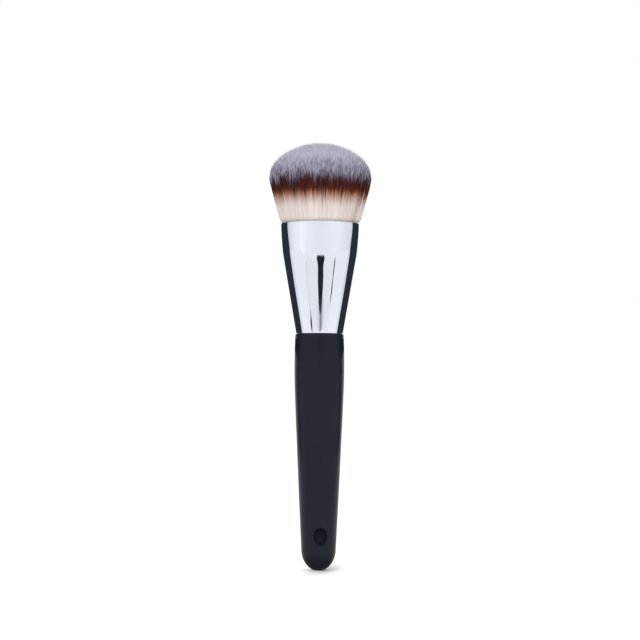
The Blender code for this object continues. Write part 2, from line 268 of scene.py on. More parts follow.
def set_node(tree, node, *values, **named):
    """Sets a node's named settings and inputs, and gives its inputs the other values in order."""
    for name, value in named.items():
        if hasattr(node, name):
            setattr(node, name, value)
        else:
            give(tree, node.inputs[name.replace("_", " ")], value)
    for socket, value in zip(node.inputs, values):
        give(tree, socket, value)
    return node


def add_node(tree, kind, *values, **named):
    """A new node, set as set_node does it."""
    return set_node(tree, tree.nodes.new("ShaderNode" + kind), *values, **named)


def maths(tree, operation, *values):
    """The result of a Math node."""
    return add_node(tree, "Math", *values, operation=operation).outputs[0]


def vector_maths(tree, operation, vector, output="Vector"):
    """The result of a Vector Math node on one vector."""
    return add_node(tree, "VectorMath", vector, operation=operation).outputs[output]


def value_range(tree, source, low, high, **named):
    """Maps 0..1, or the range that is named, to low..high."""
    node = add_node(tree, "MapRange", source, To_Min=low, To_Max=high, **named)
    return node.outputs["Result"]


def noise(tree, scale, detail=2.0, roughness=0.5, stretch=(1.0, 1.0, 1.0)):
    """Noise over the object's own coordinates."""
    place = add_node(tree, "TexCoord")
    mapping = add_node(tree, "Mapping", place.outputs["Object"], Scale=stretch)
    texture = add_node(tree, "TexNoise", mapping.outputs["Vector"], Scale=scale, Detail=detail,
                       Roughness=roughness)
    return texture.outputs["Fac"]


def ramp(tree, source, stops):
    """A colour ramp; each stop is (place, colour)."""
    node = add_node(tree, "ValToRGB", source)
    elements = node.color_ramp.elements
    while len(elements) < len(stops):
        elements.new(0.5)
    for element, (place, colour) in zip(elements, stops):
        element.position = place
        element.color = (*colour, 1.0)
    return node.outputs["Color"]


def mottled(tree, mottle, dark, light):
    """A colour that a mottle moves from dark to light."""
    return ramp(tree, mottle, [(0.30, dark), (0.70, light)])


def bump(tree, source, strength, distance):
    """A normal, bumped by a grey value."""
    node = add_node(tree, "Bump", Height=source, Strength=strength, Distance=distance)
    return node.outputs["Normal"]


def grey(level):
    """A neutral colour."""
    return level, level, level


def greys(*stops):
    """Stops for a colour ramp, from pairs of (place, grey level)."""
    return [(place, grey(level)) for place, level in stops]


def lacquer_material():
    """Satin blue-black lacquer with a faint mottle and orange peel."""
    made, tree, shader = new_material("satin_black_lacquer")
    mottle = noise(tree, 90.0, 3.0, 0.55, (1.0, 1.0, 0.35))
    set_node(
        tree, shader,
        Base_Color=mottled(tree, mottle, (0.0098, 0.0124, 0.0200), (0.0125, 0.0153, 0.0242)),
        Roughness=value_range(tree, noise(tree, 700.0), 0.29, 0.36),
        Normal=bump(tree, noise(tree, 2600.0, 1.0), 0.10, 0.02 * MM),
        Specular_IOR_Level=0.13,
    )
    return made


def plain_material(name, dark, light, roughness, scale, specular=0.5):
    """A mottled finish without shine."""
    made, tree, shader = new_material(name)
    mottle = noise(tree, scale, 3.0)
    set_node(
        tree, shader,
        Base_Color=mottled(tree, mottle, dark, light),
        Roughness=value_range(tree, mottle, *roughness),
        Specular_IOR_Level=specular,
    )
    return made


def recess_shade_material():
    """Dull black inside the recess, darker than the lacquer: painted shade of the deep recess."""
    return plain_material("recess_painted_shade", (0.0125, 0.0145, 0.0250), (0.0160, 0.0185, 0.0310),
                          (0.70, 0.85), 900.0, 0.08)


def chrome_material():
    """Mirror plating, with the faintest haze and waviness."""
    made, tree, shader = new_material("mirror_chrome")
    haze = noise(tree, 160.0, 3.0, 0.6, (1.0, 1.0, 0.25))
    set_node(
        tree, shader,
        Base_Color=mottled(tree, haze, (0.775, 0.812, 0.894), (0.800, 0.834, 0.912)),
        Roughness=value_range(tree, haze, 0.010, 0.030),
        Normal=bump(tree, noise(tree, 220.0, 1.0), 0.02, 0.03 * MM),
        Metallic=1.0,
    )
    return made


def bristle_material():
    """Tricolour filaments. In the map, U picks a filament's own shade and V runs along its dye.

    V is 0 at the cream root, 0.5 in the dark middle and 1 at the pale tip. Near V 0 the root is a
    little darker, a painted shade where the rim meets the filaments.
    """
    made, tree, shader = new_material("tricolour_filaments")
    place = add_node(tree, "UVMap", uv_map="OFBake").outputs["UV"]
    column, along, _ = add_node(tree, "SeparateXYZ", place).outputs
    dye = ramp(tree, along, [
        # V 0, at the mouth, is darker: painted shade where the rim shades the filaments
        (0.00, (0.58, 0.50, 0.48)),
        (0.10, (0.985, 0.863, 0.808)),
        (0.12, (0.985, 0.855, 0.798)),
        (0.16, (0.93, 0.78, 0.72)),
        (0.21, (0.80, 0.64, 0.58)),
        (0.265, (0.68, 0.47, 0.395)),
        (0.32, (0.51, 0.250, 0.175)),
        (0.375, (0.285, 0.080, 0.034)),
        (0.42, (0.092, 0.0145, 0.0055)),
        (0.50, (0.062, 0.0105, 0.0115)),
        (0.58, (0.066, 0.027, 0.043)),
        (0.68, (0.202, 0.161, 0.242)),
        (0.84, (0.49, 0.460, 0.615)),
        (1.00, (0.85, 0.86, 1.00)),
    ])
    style = maths(tree, "FLOOR", maths(tree, "MULTIPLY", column, float(STYLES)))
    own = add_node(tree, "TexWhiteNoise", noise_dimensions="1D", W=style).outputs
    # The filaments differ most where they are dark
    difference = ramp(tree, along, greys(
        (0.0, 0.0), (0.20, 0.0), (0.34, 0.55), (0.52, 0.75), (0.72, 0.22), (1.0, 0.02),
    ))
    centred = value_range(tree, own["Value"], -1.0, 1.0)
    plain = value_range(tree, own["Value"], 0.995, 1.005)
    shade = add_node(
        tree, "HueSaturation",
        Color=dye,
        Value=maths(tree, "MULTIPLY_ADD", centred, difference, plain),
        Saturation=value_range(tree, own["Color"], 0.93, 1.07),
    )
    set_node(
        tree, shader,
        Base_Color=shade.outputs["Color"],
        Roughness=value_range(tree, own["Value"], 0.48, 0.62),
        Specular_IOR_Level=0.18,
    )
    return made


# Meshes


def add_object(name, data):
    """A new object in the scene."""
    made = bpy.data.objects.new(name, data)
    bpy.context.scene.collection.objects.link(made)
    return made


def mesh_object(name, vertices, faces, materials, smooth_angle=None):
    """An object from lists of points and faces, with one material or several."""
    mesh = bpy.data.meshes.new(name)
    mesh.from_pydata(vertices, [], faces)
    for finish in materials if isinstance(materials, list) else [materials]:
        mesh.materials.append(finish)
    mesh.shade_smooth()
    if smooth_angle:
        mesh.set_sharp_from_angle(angle=math.radians(smooth_angle))
    return add_object(name, mesh)


def spread(start, end, count):
    """Evenly spaced values from start to end, both included."""
    return [start + (end - start) * step / (count - 1) for step in range(count)]


def arc(start, end, count):
    """The sine and the cosine of each of some evenly spaced angles."""
    return [(math.sin(angle), math.cos(angle)) for angle in spread(start, end, count)]


def blend_three(along, places):
    """Where a quadratic curve is, with its middle place as the corner that it rounds."""
    weights = ((1 - along) ** 2, 2 * along * (1 - along), along**2)
    return tuple(sum(w * place[axis] for w, place in zip(weights, places)) for axis in (0, 1))


def sharp_ferrule_size(height):
    """The ferrule's outer half width and half depth at a height, with a sharp bend."""
    if height <= BEND:
        share = (height - FERRULE_BASE) / (BEND - FERRULE_BASE)
        low, high = BASE_SIZE, BEND_SIZE
    else:
        share = 1.0 - max(0.0, (MOUTH - height) / (MOUTH - BEND)) ** COLLAR_CURVE
        low, high = BEND_SIZE, MOUTH_SIZE
    return [small + (large - small) * share for small, large in zip(low, high)]


def ferrule_size(height):
    """The same with the bend rounded over."""
    along = (height - BEND + BEND_SOFTNESS) / (2 * BEND_SOFTNESS)
    if not 0.0 < along < 1.0:
        return sharp_ferrule_size(height)
    return blend_three(along, [sharp_ferrule_size(BEND + step * BEND_SOFTNESS) for step in (-1, 0, 1)])


def ferrule_outline():
    """The ferrule's wall as (inset, height): up the outside from the lip, and down the inside."""
    base = SHOULDER + BASE_GAP
    rim = WALL / 2
    outline = [(LIP * (1.0 - s), base + LIP * (1.0 - c)) for s, c in arc(0.0, QUARTER, 9)]
    cone = [base + LIP + LIP_SUPPORT] + spread(base + LIP, BEND - BEND_SOFTNESS, 24)[1:]
    bend = spread(BEND - BEND_SOFTNESS, BEND + BEND_SOFTNESS, 17)[1:]
    collar = spread(BEND + BEND_SOFTNESS, MOUTH - rim, 22)[1:-1]
    collar += [MOUTH - rim - RIM_SUPPORT, MOUTH - rim]
    outline += [(0.0, height) for height in cone + bend + collar]
    outline += [(rim * (1.0 - c), MOUTH - rim + rim * s) for s, c in arc(0.0, math.pi, 9)[1:]]
    return outline + [(WALL, height) for height in spread(MOUTH - rim, base, 12)[1:]]


def make_ferrule(chrome):
    """The spun metal tube, with a rolled lip at the handle and a rounded rim at the mouth.

    Flaring it to an oval leaves the rim a little lower at its two narrow ends.
    """
    outline = ferrule_outline()
    circle = arc(0.0, math.tau, FERRULE_STEPS + 1)[:-1]
    vertices = []
    for inset, height in outline:
        half_width, half_depth = ferrule_size(height)
        dip = MOUTH_DIP * min(max((height - BEND) / (MOUTH - BEND), 0.0), 1.0) ** 2
        for s, c in circle:
            vertices.append(((half_width - inset) * c, (half_depth - inset) * s, height - dip * c**2))
    faces = []
    rows = len(outline)
    for row in range(rows):
        low = row * FERRULE_STEPS
        high = (row + 1) % rows * FERRULE_STEPS
        for step in range(FERRULE_STEPS):
            after = (step + 1) % FERRULE_STEPS
            faces.append((low + step, low + after, high + after, high + step))
    return mesh_object("ferrule_skin", vertices, faces, chrome, 40.0)


def bent(start, corner, end, count):
    """Points of the curve that leaves start towards corner and reaches end from corner."""
    return [blend_three(along, (start, corner, end)) for along in spread(0.0, 1.0, count)]


def taper_radius(height):
    """Radius of the handle's taper at a height, a little fuller in its middle."""
    share = (height - BUTT_ROUNDING) / (BELLY_HEIGHT - BUTT_ROUNDING)
    fuller = TAPER_FULLNESS * math.sin(math.pi * min(max(share, 0.0), 1.0))
    return BUTT_RADIUS + (BELLY_CORNER_RADIUS - BUTT_RADIUS) * share + fuller


def grip_profile():
    """The visible handle as (radius, height), from its shoulder to the middle of its end."""
    edge = SHOULDER - SHOULDER_ROUNDING
    points = [(0.0, SHOULDER), (HANDLE_TOP_RADIUS * 0.6, SHOULDER)]
    points += bent((HANDLE_TOP_RADIUS - SHOULDER_ROUNDING, SHOULDER), (HANDLE_TOP_RADIUS, SHOULDER),
                   (HANDLE_TOP_RADIUS, edge), 8)
    belly_start = BELLY_HEIGHT - BELLY_ROUNDING
    points += bent((HANDLE_TOP_RADIUS, edge), (BELLY_CORNER_RADIUS, BELLY_HEIGHT),
                   (taper_radius(belly_start), belly_start), 32)[1:]
    window_top = RECESS_HEIGHT + WINDOW_HALF_TALLNESS
    window_bottom = RECESS_HEIGHT - WINDOW_HALF_TALLNESS
    taper = spread(belly_start, window_top, 30)[1:]
    taper += spread(window_top, window_bottom, WINDOW_CELLS + 1)[1:]
    taper += [BUTT_ROUNDING]
    points += [(taper_radius(height), height) for height in taper]
    flat_angle = math.asin(BUTT_FLAT_RADIUS / BUTT_RADIUS)
    drop = BUTT_ROUNDING / math.cos(flat_angle)
    points += [(BUTT_RADIUS * s, BUTT_ROUNDING - drop * c) for s, c in arc(QUARTER, flat_angle, 28)[1:]]
    points.append((0.0, 0.0))
    return points


def recess_loops():
    """Loops from the window in to the recess's middle.

    Each is (how far it is from the window's edge to the oval, size of the oval, depth).
    """
    outer = 1.0 + RECESS_LIP / RECESS_HALF_WIDTH
    loops = [(share, outer, 0.0) for share in (0.35, 0.65, 0.88)]
    for s, c in arc(0.0, QUARTER, 6):
        loops.append((1.0, 1.0 + (outer - 1.0) * (1.0 - s), RECESS_LIP * (1.0 - c)))
    corner_start = RECESS_DEPTH - RECESS_CORNER
    loops += [(1.0, 1.0, depth) for depth in spread(RECESS_LIP, corner_start, 7)[1:]]
    for s, c in arc(0.0, QUARTER, 6)[1:]:
        size = 1.0 - RECESS_CORNER / RECESS_HALF_WIDTH * (1.0 - c)
        loops.append((1.0, size, corner_start + RECESS_CORNER * s))
    return loops + [(1.0, size, RECESS_DEPTH) for size in (0.6, 0.4, 0.2)]


def recess_point(across, rise, share, size, depth):
    """A point of a loop, from the window's edge point that it belongs to.

    The wall goes straight in from the round skin, and ends on a flat floor.
    """
    middle_radius = taper_radius(RECESS_HEIGHT)
    window_half_width = math.pi * WINDOW_CELLS / HANDLE_STEPS * middle_radius
    angle = math.atan2(rise / WINDOW_HALF_TALLNESS, across / window_half_width)
    oval_across = RECESS_HALF_WIDTH * size * math.cos(angle)
    oval_rise = RECESS_HALF_TALLNESS * size * math.sin(angle)
    across += (oval_across - across) * share
    height = RECESS_HEIGHT + rise + (oval_rise - rise) * share
    radius = taper_radius(height)
    turn = across / middle_radius
    skin = -radius * math.cos(turn)
    floor = RECESS_DEPTH - middle_radius
    down = depth / RECESS_DEPTH
    return radius * math.sin(turn), (skin + depth) * (1.0 - down) + floor * down, height


def make_handle(lacquer, recess):
    """The turned handle, with the blind oval recess in a window of its front."""
    profile = grip_profile()
    reach = WINDOW_HALF_TALLNESS + 1e-7
    window = [row for row, (_, height) in enumerate(profile) if abs(height - RECESS_HEIGHT) < reach]
    top, bottom = window[0], window[-1]
    middle = HANDLE_STEPS // 2
    left = middle - WINDOW_CELLS // 2
    right = middle + WINDOW_CELLS // 2
    vertices = []
    rings = []
    for radius, height in profile:
        if radius == 0.0:
            rings.append([len(vertices)] * HANDLE_STEPS)
            vertices.append((0.0, 0.0, height))
            continue
        rings.append(list(range(len(vertices), len(vertices) + HANDLE_STEPS)))
        for step in range(HANDLE_STEPS):
            turn = math.tau * (step - middle) / HANDLE_STEPS
            vertices.append((radius * math.sin(turn), -radius * math.cos(turn), height))
    faces = []
    for row, (upper, lower) in enumerate(zip(rings, rings[1:])):
        for step in range(HANDLE_STEPS):
            if top <= row < bottom and left <= step < right:
                continue
            after = (step + 1) % HANDLE_STEPS
            # At the two ends, where a ring is one point, this leaves a triangle
            corners = (upper[step], lower[step], lower[after], upper[after])
            faces.append(tuple(dict.fromkeys(corners)))
    # The window's edge, from its top left corner along the top, down, back and up
    edge = [rings[top][step] for step in range(left, right)]
    edge += [rings[row][right] for row in range(top, bottom)]
    edge += [rings[bottom][step] for step in range(right, left, -1)]
    edge += [rings[row][left] for row in range(bottom, top, -1)]
    places = []
    for number in edge:
        x, y, z = vertices[number]
        places.append((math.atan2(x, -y) * taper_radius(RECESS_HEIGHT), z - RECESS_HEIGHT))
    before = edge
    inner_faces = set()
    for share, size, depth in recess_loops():
        loop = []
        for across, rise in places:
            loop.append(len(vertices))
            vertices.append(recess_point(across, rise, share, size, depth))
        for step in range(len(loop)):
            after = (step + 1) % len(loop)
            if depth > RECESS_LIP / 2:
                inner_faces.add(len(faces))
            faces.append((before[step], loop[step], loop[after], before[after]))
        before = loop
    vertices.append((0.0, RECESS_DEPTH - taper_radius(RECESS_HEIGHT), RECESS_HEIGHT))
    for step in range(len(before)):
        inner_faces.add(len(faces))
        faces.append((before[step], len(vertices) - 1, before[(step + 1) % len(before)]))
    made = mesh_object("handle_grip", vertices, faces, [lacquer, recess], 50.0)
    # The recess's inner faces take the darker material, painted shade inside the recess
    for number in inner_faces:
        made.data.polygons[number].material_index = 1
    made.data.transform(Matrix.Rotation(math.radians(RECESS_TURN), 4, "Z"))
    return made


# Bristles


def bundle_size(axis, height, upright=0.0):
    """Half width (axis 0) or half depth (axis 1) of the bristle bundle at a height."""
    fuller, growth, squeeze, inset = BUNDLE_FANS[axis]
    mouth = MOUTH_SIZE[axis] / MM
    above = (height - MOUTH) / MM
    squeezed = squeeze * np.exp(-np.clip(above, 0.0, None) / SQUEEZE_LENGTH)
    fanned = mouth + fuller + growth * (above - upright) - squeezed
    return np.where(above > 0.0, fanned, mouth - inset) * MM


def across_at(disc_x, height):
    """A filament's place from left to right at a height."""
    return disc_x * bundle_size(0, height)


def back_at(disc_y, height):
    """A filament's place from front to back at a height. Those at the back end more upright."""
    past = np.clip((height - MOUTH) / MM - UPRIGHT_START, 0.0, None)
    upright = past - UPRIGHT_LENGTH * (1.0 - np.exp(-past / UPRIGHT_LENGTH))
    upright = upright * np.clip(3.0 * disc_y, 0.0, 1.0)
    return disc_y * bundle_size(1, height, upright)


def face_height(x, y):
    """Height of the slanted, domed face that the tips make."""
    across = x / HEAD_HALF_WIDTH
    along = y / HEAD_HALF_DEPTH
    lift = np.clip((1.0 + along) / 2, 0.0, 1.1) ** BACK_LIFT_CURVE
    edge = MOUTH + EDGE_REACH + BACK_LIFT * lift
    inward = np.clip(1.0 - across**2 - along**2, 0.0, None)
    return edge + (CROWN + SLANT * along) * inward**CROWN_CURVE


def tip_heights(disc_x, disc_y):
    """Where each filament meets the face."""
    low = np.full(disc_x.shape, MOUTH)
    high = np.full(disc_x.shape, MOUTH + HIGHEST_TIP)
    for _ in range(36):
        middle = (low + high) / 2
        under = face_height(across_at(disc_x, middle), back_at(disc_y, middle)) > middle
        low = np.where(under, middle, low)
        high = np.where(under, high, middle)
    return low


def slice_numbers(disc_x, disc_y):
    """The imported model's slice that each filament belongs to, from front to back."""
    radius = np.hypot(disc_x, disc_y)
    wide = np.abs(disc_x) >= np.abs(disc_y)
    safe_x = np.where(disc_x == 0.0, 1e-9, disc_x)
    beside = radius * np.arctan(disc_y / np.abs(safe_x)) * 4 / math.pi
    along = np.where(wide, beside, np.sign(disc_y) * radius)
    return np.clip(((along + 1.0) / 2 * SLICES).astype(int), 0, SLICES - 1)


def filament_places(chance, count):
    """The filaments' places in a disc of radius 1: an even spiral, scattered a little."""
    numbers = np.arange(count)
    radius = np.sqrt((numbers + 0.5) / count)
    turn = numbers * math.pi * (3.0 - math.sqrt(5.0))
    scatter = PLACE_SCATTER / math.sqrt(count)
    disc_x = radius * np.cos(turn) + chance.normal(0.0, scatter, count)
    disc_y = radius * np.sin(turn) + chance.normal(0.0, scatter, count)
    over = np.maximum(1.0, np.hypot(disc_x, disc_y) / 0.995)
    return disc_x / over, disc_y / over


def clump_numbers(chance, disc_x, disc_y):
    """Gathers the filaments round random seeds; gives each one's clump and its seed's place."""
    radius = np.sqrt(chance.random(CLUMPS))
    turn = chance.random(CLUMPS) * math.tau
    seed_x = radius * np.cos(turn)
    seed_y = radius * np.sin(turn)
    tree = kdtree.KDTree(CLUMPS)
    for number in range(CLUMPS):
        tree.insert((seed_x[number] * HEAD_HALF_WIDTH, seed_y[number] * HEAD_HALF_DEPTH, 0.0), number)
    tree.balance()
    places = zip(disc_x * HEAD_HALF_WIDTH, disc_y * HEAD_HALF_DEPTH)
    clump = np.array([tree.find((x, y, 0.0))[1] for x, y in places])
    return clump, seed_x[clump], seed_y[clump]


def dyed_rings(chance, shared, disc_x, tip):
    """Heights of each filament's rings, from its root to its tip, and its dye at each."""
    count = len(tip)
    fringe = FRINGE + shared(*FRINGE_SPREAD) - chance.exponential(FRINGE_WEAR, count)
    # Highest in the middle, and a little lower on the right than on the left
    fringe += (0.35 * np.exp(-((disc_x / 0.22) ** 2)) - 0.3 * disc_x**2 - 0.1 * disc_x) * MM
    low_fringe = chance.random(count) < LOW_FRINGE_SHARE
    fringe -= np.where(low_fringe, chance.random(count) * LOW_FRINGE_REACH, 0.0)
    fringe_start = fringe - FRINGE_BELOW
    fringe_end = fringe + FRINGE_ABOVE
    band_top = BAND_TOP + shared(*BAND_TOP_SPREAD)
    # Lower at the sides, on the left more than on the right
    band_top -= (0.42 * np.minimum(np.abs(disc_x) * 2, 1.0) - 0.1 * np.clip(disc_x * 2, -1.0, 1.0)) * MM
    low_top = chance.random(count) < LOW_TOP_SHARE + LOW_TOP_SIDE_SHARE * np.abs(disc_x)
    band_top -= np.where(low_top, chance.random(count) * LOW_TOP_REACH, 0.0)
    pale_length = PALE_LENGTH * np.exp(shared(*PALE_SPREAD))
    shade = shared(*SHADE_SPREAD)

    def dye_at(height):
        """Each filament's place along the dye at a height."""
        rise = np.clip((height - fringe_start) / (fringe_end - fringe_start), 0.0, 1.0)
        lower = CREAM_END + (DARK_START - CREAM_END) * rise
        over_band = (height - band_top) / MM
        under_tip = (tip - height) / pale_length
        cap = np.interp(over_band, BAND_TOP_HEIGHTS, BAND_TOP_DYES)
        upper = np.minimum(cap, np.interp(under_tip, UNDER_TIP_SHARES, UNDER_TIP_DYES))
        upper += shade * np.interp(over_band, STREAK_HEIGHTS, STREAK_STRENGTHS)
        # Painted highlight at each tip and painted shade under it, fading out high over the band
        tip_light_shade = np.interp(under_tip, TIP_LIGHT_SHARES, TIP_LIGHT_SHADE_DYES)
        upper += tip_light_shade * np.interp(over_band, TIP_LIGHT_END_HEIGHTS, [1.0, 0.0])
        return np.where(rise < 1.0, lower, np.clip(upper, DARK_START, 1.0))

    grey_start = band_top + 1.2 * MM
    # The lowest rings carry the painted rim shade, darkest at the mouth
    heights = [np.full(count, MOUTH + above * MM) for above in RIM_SHADE_HEIGHTS]
    heights += [fringe_start, fringe_end, band_top, grey_start]
    heights += [np.maximum(grey_start, tip - 0.5 * pale_length), tip]
    rings = len(heights) - 1
    for number in range(1, rings):
        heights[number] = np.maximum(heights[number], heights[number - 1] + 0.02 * MM)
        heights[number] = np.minimum(heights[number], tip - 0.03 * MM * (rings - number))
    dyes = [np.full(count, dye) for dye in RIM_SHADE_DYES]
    dyes += [dye_at(height) for height in heights[len(RIM_SHADE_DYES):]]
    return heights, np.stack(dyes, axis=1)


def filament_points(chance, disc_x, disc_y, seed_x, seed_y, heights, tip):
    """Three points round each ring of every filament, and one at its tip.

    A filament leans towards its clump's seed as it rises, and some stray.
    """
    count = len(tip)
    pull = CLUMP_PULL * chance.random(count)
    toward_x = (seed_x - disc_x) * pull
    toward_y = (seed_y - disc_y) * pull
    stray = np.where(chance.random(count) < STRAY_SHARE, STRAY_FACTOR, 1.0)
    stray_x = chance.normal(0.0, STRAY, count) * stray
    stray_y = chance.normal(0.0, STRAY, count) * stray
    spin = chance.random(count) * math.tau
    thick = HAIR_THICKNESS * (1.0 + chance.normal(0.0, THICKNESS_SPREAD, count))
    rings = len(heights) - 1
    points = np.zeros((count, rings * 3 + 1, 3))
    for ring, height in enumerate(heights):
        share = np.clip((height - MOUTH) / np.maximum(tip - MOUTH, 1e-6), 0.0, 1.0)
        drawn_in = 1.0 - TIP_DRAW * share**8
        x = across_at(disc_x + toward_x * share**3, height) * drawn_in + stray_x * share**2
        full = np.interp((height - MOUTH) / MM, RIGHT_FULLNESS_HEIGHTS, RIGHT_FULLNESS)
        x += full * MM * np.clip(disc_x, 0.0, None) ** 2
        y = back_at(disc_y + toward_y * share**3, height) + stray_y * share**2
        if ring == rings:
            points[:, rings * 3] = np.stack((x, y, height), axis=1)
            continue
        taper = np.clip((tip - height) / TAPER_LENGTH, 0.0, 1.0) ** 0.7
        half = (TIP_THICKNESS + (thick - TIP_THICKNESS) * taper) / 2
        half = half * np.where(height < MOUTH + 0.2 * MM, 0.9, 1.0)
        for side in range(3):
            angle = spin + math.tau * side / 3
            place = (x + half * np.cos(angle), y + half * np.sin(angle), height)
            points[:, ring * 3 + side] = np.stack(place, axis=1)
    return points


def make_bristles(finish):
    """The bristle bundle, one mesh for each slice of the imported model."""
    chance = np.random.default_rng(11)
    count = HAIRS
    disc_x, disc_y = filament_places(chance, count)
    clump, seed_x, seed_y = clump_numbers(chance, disc_x, disc_y)

    def shared(clump_part, own_part):
        """Random offsets that a clump's filaments share in part."""
        common = chance.normal(0.0, clump_part, CLUMPS)[clump]
        return common + chance.normal(0.0, own_part, count)

    tip = tip_heights(disc_x, disc_y) + TIP_LIFT + shared(*TIP_SPREAD)
    tip -= chance.exponential(TIP_WEAR, count)
    heights, dyes = dyed_rings(chance, shared, disc_x, tip)
    points = filament_points(chance, disc_x, disc_y, seed_x, seed_y, heights, tip)
    style = np.where(
        chance.random(count) < OWN_STYLE_SHARE,
        chance.integers(0, STYLES, count),
        chance.integers(0, STYLES, CLUMPS)[clump],
    )
    normals = shading_normals(points, disc_x, disc_y, tip)
    slices = slice_numbers(disc_x, disc_y)
    made = []
    for number in range(SLICES):
        chosen = np.flatnonzero(slices == number)
        name = f"filaments_{number + 1}"
        piece = filament_mesh(name, points[chosen], style[chosen], dyes[chosen], finish)
        piece.data.normals_split_custom_set_from_vertices(normals[chosen].reshape(-1, 3))
        made.append(piece)
    return made


def unit(vectors):
    """The vectors at length 1."""
    return vectors / np.maximum(np.linalg.norm(vectors, axis=-1, keepdims=True), 1e-9)


def shading_normals(points, disc_x, disc_y, tip):
    """Normals that follow the bundle's side and its domed face, and each filament only a little."""
    x, y, z = points[..., 0], points[..., 1], points[..., 2]
    side = np.zeros(points.shape)
    side[..., 0] = (disc_x / HEAD_HALF_WIDTH)[:, None]
    side[..., 1] = (disc_y / HEAD_HALF_DEPTH)[:, None]
    side = unit(side)
    side[..., 2] = SIDE_DROOP
    step = 0.05 * MM
    dome_x, dome_y = x * DOME_INSET, y * DOME_INSET
    here = face_height(dome_x, dome_y)
    slope_x = (face_height(dome_x + step, dome_y) - here) / step
    slope_y = (face_height(dome_x, dome_y + step) - here) / step
    top = unit(np.stack((-slope_x, -slope_y, np.ones(x.shape)), axis=2))
    near = np.clip(1.0 - (tip[:, None] - z) / DOME_LENGTH, 0.0, 1.0)[..., None]
    bundle = unit(side * (1.0 - near) + top * near)
    rings = (points.shape[1] - 1) // 3
    middle = points[:, :-1].reshape(len(points), rings, 3, 3).mean(axis=2)
    own = np.zeros(points.shape)
    own[:, :-1] = points[:, :-1] - np.repeat(middle, 3, axis=1)
    share = OWN_SHARE + OWN_TOP_SHARE * near * np.clip(top[..., 2:], 0.0, 1.0)
    return unit(bundle * (1.0 - share) + unit(own) * share)


def filament_mesh(name, points, style, dyes, finish):
    """Three-sided tapering filaments, closed at the root and pointed at the tip."""
    count, per_hair, _ = points.shape
    rings = (per_hair - 1) // 3
    # Each corner of a face is (point, share of the style's column, ring whose dye it takes)
    quads = []
    tris = []
    for ring in range(rings):
        low, high = ring * 3, ring * 3 + 3
        for side in range(3):
            after = (side + 1) % 3
            left, right = side / 3, (side + 1) / 3
            foot = [(low + side, left, ring), (low + after, right, ring)]
            if ring < rings - 1:
                quads += foot + [(high + after, right, ring + 1), (high + side, left, ring + 1)]
            else:
                tris += foot + [(per_hair - 1, (left + right) / 2, rings)]
    tris += [(2, 0.9, 0), (1, 0.5, 1), (0, 0.1, 0)]
    corners = []
    places = []
    for shape in (quads, tris):
        point, across, ring = (np.array(column) for column in zip(*shape))
        corners.append((point[None] + (np.arange(count) * per_hair)[:, None]).reshape(-1))
        u = (style[:, None] + COLUMN_MARGIN + (1.0 - 2 * COLUMN_MARGIN) * across[None]) / STYLES
        places.append(np.stack((u, dyes[:, ring]), axis=2).reshape(-1))
    corners = np.concatenate(corners).astype(np.int32)
    quad_count = count * len(quads) // 4
    tri_count = count * len(tris) // 3
    starts = np.concatenate((np.arange(quad_count) * 4, quad_count * 4 + np.arange(tri_count) * 3))
    mesh = bpy.data.meshes.new(name)
    mesh.vertices.add(count * per_hair)
    mesh.vertices.foreach_set("co", points.reshape(-1).astype(np.float32))
    mesh.loops.add(len(corners))
    mesh.loops.foreach_set("vertex_index", corners)
    mesh.polygons.add(quad_count + tri_count)
    mesh.polygons.foreach_set("loop_start", starts.astype(np.int32))
    layer = mesh.uv_layers.new(name="OFBake")
    layer.uv.foreach_set("vector", np.concatenate(places).astype(np.float32))
    mesh.materials.append(finish)
    mesh.update(calc_edges=True)
    mesh.validate()
    mesh.shade_smooth()
    return add_object(name, mesh)


# The studio


def emitter(name, colour, thinnest=0.0):
    """A plain glowing material, clear where it is seen at less than thinnest degrees."""
    made, tree, surface = unlit_material(name)
    result = add_node(tree, "Emission", (*colour, 1.0), 1.0).outputs[0]
    if thinnest:
        facing = add_node(tree, "LayerWeight", Blend=0.5).outputs["Facing"]
        edge_on = maths(tree, "GREATER_THAN", facing, 1.0 - math.sin(math.radians(thinnest)))
        clear = add_node(tree, "BsdfTransparent").outputs[0]
        result = add_node(tree, "MixShader", edge_on, result, clear).outputs[0]
    give(tree, surface, result)
    return made


def graded_emitter(name, gradient, stops):
    """A glowing material whose colour follows a gradient of the card's own coordinates.

    The gradient is RADIAL, UP from the card's lowest point or ACROSS from its left side.
    """
    made, tree, surface = unlit_material(name)
    place = add_node(tree, "TexCoord").outputs
    vector, shape = place["Generated"], "LINEAR"
    if gradient == "RADIAL":
        vector, shape = place["Object"], "RADIAL"
    elif gradient == "UP":
        turned = add_node(tree, "Mapping", vector, Rotation=(0.0, QUARTER, 0.0))
        vector = turned.outputs["Vector"]
    along = add_node(tree, "TexGradient", vector, gradient_type=shape).outputs["Fac"]
    light = add_node(tree, "Emission", ramp(tree, along, stops), 1.0)
    give(tree, surface, light.outputs[0])
    return made


def card(name, corners, faces, finish):
    """A card that only mirror surfaces see."""
    made = mesh_object(name, corners, faces, finish)
    made.visible_camera = False
    made.visible_diffuse = False
    made.visible_transmission = False
    made.visible_volume_scatter = False
    made.visible_shadow = False


def flag(name, edge, in_depth, side, finish):
    """A flat dark flag beside the brush, from points (inner place, height, reach)."""
    corners = []
    for inner, height, reach in edge:
        for place in (inner - FLAG_INSET, reach):
            along = side * place
            corners.append((0.0, along, height) if in_depth else (along, 0.0, height))
    faces = [(row * 2, row * 2 + 1, row * 2 + 3, row * 2 + 2) for row in range(len(edge) - 1)]
    card(name, corners, faces, finish)


